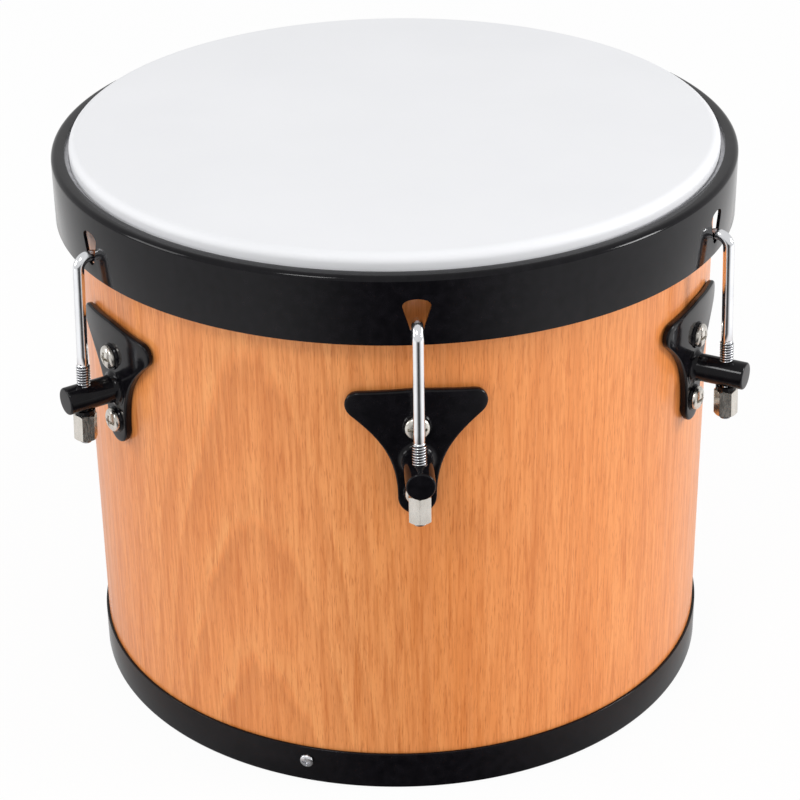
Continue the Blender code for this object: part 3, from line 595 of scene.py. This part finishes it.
lugForm, rodForm = lugGrids(), rodGrid()
lugScrewForm = screwGrid(**lugScrew)
for i in range(hoop["lugs"]):
    turn, number = 360 / hoop["lugs"] * i, i + 1
    lugPiece = makeMesh(f"lug_{number}_form", [(turnedTo(g, turn), c) for g, c in lugForm], enamelBlack, 42)
    finishPiece(lugPiece, "shell_body", "black_enamel", f"lug_{number}")
    rodPiece = makeMesh(f"tension_rod_{number}_form", [(turnedTo(rodForm, turn), False)], zincThreaded, 50)
    # painted shade for the rod's thread roots
    markGrooveShade(rodPiece.data, turn)
    finishPiece(rodPiece, "tension_hoop", "bright_zinc", f"tension_rod_{number}")
    nutForm = nutGrid(nut["turns"][i])
    nutPiece = makeMesh(f"tension_nut_{number}_form", [(turnedTo(nutForm, turn), True)], nickelSatin, 25)
    finishPiece(nutPiece, f"nut_{number}", "nickel", f"tension_nut_{number}")
    for place, side in (("lower", -1), ("upper", 1)):
        head = laidOut(lugScrewForm, lug["postZ"] + side * lug["screwSpacing"] / 2)
        name = f"lug_screw_{number}_{place}"
        screwPiece = makeMesh(name + "_form", [(turnedTo(head, turn), False)], nickelSatin, 32)
        finishPiece(screwPiece, "shell_body", "nickel", name)
bandForm = laidOut(screwGrid(**bandScrew), bandPlace["height"])
for i in range(bandPlace["count"]):
    turn = bandPlace["firstTurn"] + 360 / bandPlace["count"] * i
    screwPiece = makeMesh(f"bottom_screw_{i + 1}_form", [(turnedTo(bandForm, turn), False)], zincBright, 32)
    finishPiece(screwPiece, "shell_body", "bright_zinc", f"bottom_screw_{i + 1}")
print("lugs, rods, nuts and screws made")

# Pieces whose CAD shape is right keep it and get a finish.
for nodeName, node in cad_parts.items():
    kept = {"washer": washerBlack, "inner_": steelPlain, "flesh_": steelPlain}
    for start, material in kept.items():
        if nodeName.startswith(start):
            for slot in node.material_slots:
                slot.material = material

# Floor, background and lamps.
studio = {"floorSize": 6.0, "white": 0.86, "world": 0.72, "clearWhite": 0.95,
          "darkWithin": 0.08, "whiteBeyond": 0.8, "darkFloor": 0.04, "aimHeight": 0.15}
lamps = {"key": {"place": (-0.9, -1.3, 1.7), "size": 0.45, "watts": 9.0},
         "fill": {"place": (1.7, -0.38, 0.7), "size": 0.5, "watts": 15.5},
         "left": {"place": (-1.6, -0.2, 0.7), "size": 0.6, "watts": 5.7}}


def lightPathMix(tree, fraction):
    # how much of a surface is plain white to the camera
    path, scaled = tree.nodes.new("ShaderNodeLightPath"), tree.nodes.new("ShaderNodeMath")
    scaled.operation = "MULTIPLY"
    scaled.inputs[1].default_value = fraction
    tree.links.new(path.outputs["Is Camera Ray"], scaled.inputs[0])
    return scaled.outputs[0], path


floorMaterial = bpy.data.materials.new("floorWhite")
floorMaterial.use_nodes = True
tree = floorMaterial.node_tree
tree.nodes["Principled BSDF"].inputs["Base Color"].default_value = (*[studio["white"]] * 3, 1)
tree.nodes["Principled BSDF"].inputs["Roughness"].default_value = 0.9
glow, blendIn = tree.nodes.new("ShaderNodeEmission"), tree.nodes.new("ShaderNodeMixShader")
amount, path = lightPathMix(tree, studio["clearWhite"])
tree.links.new(amount, blendIn.inputs[0])
# Reflections see a dark wedge of floor in front of the drum, which draws streaks on metal and enamel.
place, split = tree.nodes.new("ShaderNodeTexCoord"), tree.nodes.new("ShaderNodeSeparateXYZ")
minus, angle = tree.nodes.new("ShaderNodeMath"), tree.nodes.new("ShaderNodeMath")
size, wedge = tree.nodes.new("ShaderNodeMath"), tree.nodes.new("ShaderNodeMapRange")
seen, darkMix, dark = (tree.nodes.new(f"ShaderNode{kind}") for kind in ("Math", "MixShader", "Emission"))
minus.operation, angle.operation = "MULTIPLY", "ARCTAN2"
size.operation, seen.operation = "ABSOLUTE", "MULTIPLY"
minus.inputs[1].default_value = -1
wedge.interpolation_type = "SMOOTHSTEP"
spans = {"From Min": studio["darkWithin"], "From Max": studio["whiteBeyond"], "To Min": 1, "To Max": 0}
for socket, value in spans.items():
    wedge.inputs[socket].default_value = value
dark.inputs["Color"].default_value = (*[studio["darkFloor"]] * 3, 1)
tree.links.new(place.outputs["Object"], split.inputs[0])
tree.links.new(split.outputs["Y"], minus.inputs[0])
tree.links.new(split.outputs["X"], angle.inputs[0])
tree.links.new(minus.outputs[0], angle.inputs[1])
tree.links.new(angle.outputs[0], size.inputs[0])
tree.links.new(size.outputs[0], wedge.inputs["Value"])
tree.links.new(wedge.outputs[0], seen.inputs[0])
tree.links.new(path.outputs["Is Glossy Ray"], seen.inputs[1])
tree.links.new(seen.outputs[0], darkMix.inputs[0])
tree.links.new(tree.nodes["Principled BSDF"].outputs[0], darkMix.inputs[1])
tree.links.new(dark.outputs[0], darkMix.inputs[2])
tree.links.new(darkMix.outputs[0], blendIn.inputs[1])
tree.links.new(glow.outputs[0], blendIn.inputs[2])
tree.links.new(blendIn.outputs[0], tree.nodes["Material Output"].inputs[0])
half = studio["floorSize"] / 2
floorMesh = bpy.data.meshes.new("floor")
corners = [(x * half, y * half, -0.5 * mm) for x, y in ((-1, -1), (1, -1), (1, 1), (-1, 1))]
floorMesh.from_pydata(corners, [], [(0, 1, 2, 3)])
floorMesh.materials.append(floorMaterial)
floor = bpy.data.objects.new("floor", floorMesh)
scene.collection.objects.link(floor)

world = bpy.data.worlds.new("studio")
scene.world = world
world.use_nodes = True
tree = world.node_tree
background = tree.nodes["Background"]
background.inputs["Color"].default_value = (1, 1, 1, 1)
amount = lightPathMix(tree, 1 - studio["world"])[0]
strength = tree.nodes.new("ShaderNodeMath")
strength.operation = "ADD"
strength.inputs[1].default_value = studio["world"]
tree.links.new(amount, strength.inputs[0])
tree.links.new(strength.outputs[0], background.inputs["Strength"])
for name, lamp in lamps.items():
    data = bpy.data.lights.new(name, "AREA")
    data.energy, data.size = lamp["watts"], lamp["size"]
    light = bpy.data.objects.new(name, data)
    scene.collection.objects.link(light)
    x, y, z = lamp["place"]
    flat = math.hypot(x, y)
    facing = Matrix.Rotation(math.atan2(y, x) + math.pi / 2, 4, "Z")
    tip = Matrix.Rotation(math.atan2(flat, z - studio["aimHeight"]), 4, "X")
    light.matrix_world = Matrix.Translation((x, y, z)) @ facing @ tip
